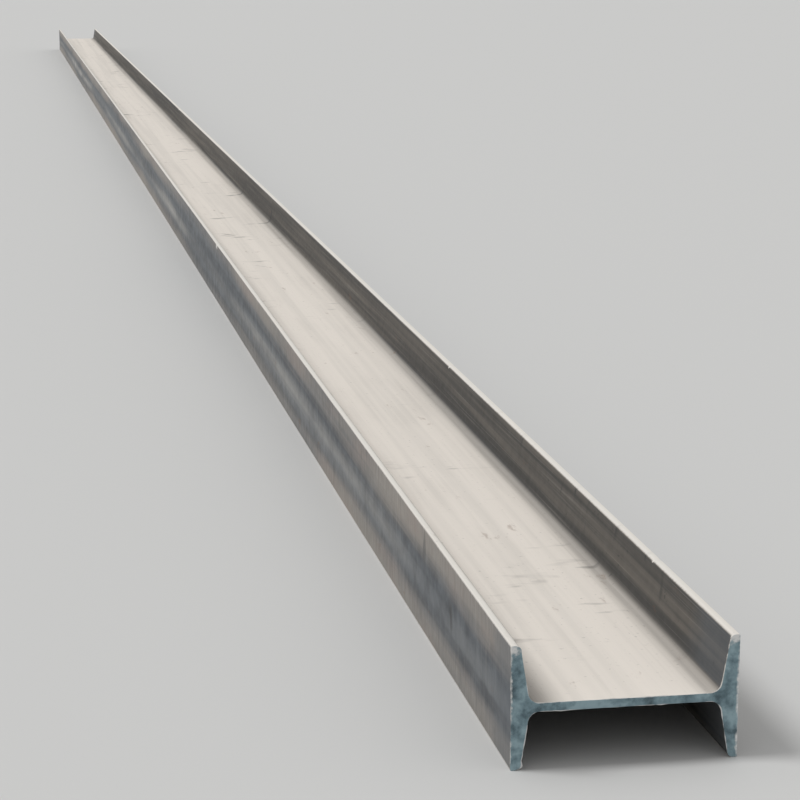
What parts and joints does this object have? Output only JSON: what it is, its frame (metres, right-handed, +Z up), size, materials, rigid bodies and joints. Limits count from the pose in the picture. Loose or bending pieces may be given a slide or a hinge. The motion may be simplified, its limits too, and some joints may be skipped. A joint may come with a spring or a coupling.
{
  "type": "steel i-beam",
  "caption": "Hot-rolled steel I-beam with tapered flanges and a thin web, plain structural stock with sawn ends, lying on its flange edges.",
  "frame": {"origin": "on the floor, under the middle of the beam, which lies on the edges of its two flanges", "axes": "+X across the section's depth, from one flange to the other; +Y along the beam; +Z up, square to the web"},
  "size_m": [0.16, 9, 0.088],
  "materials": {
    "mill_steel": "satin"
  },
  "bodies": {
    "root": {"i_beam": "mill_steel"}
  },
  "joints": []
}
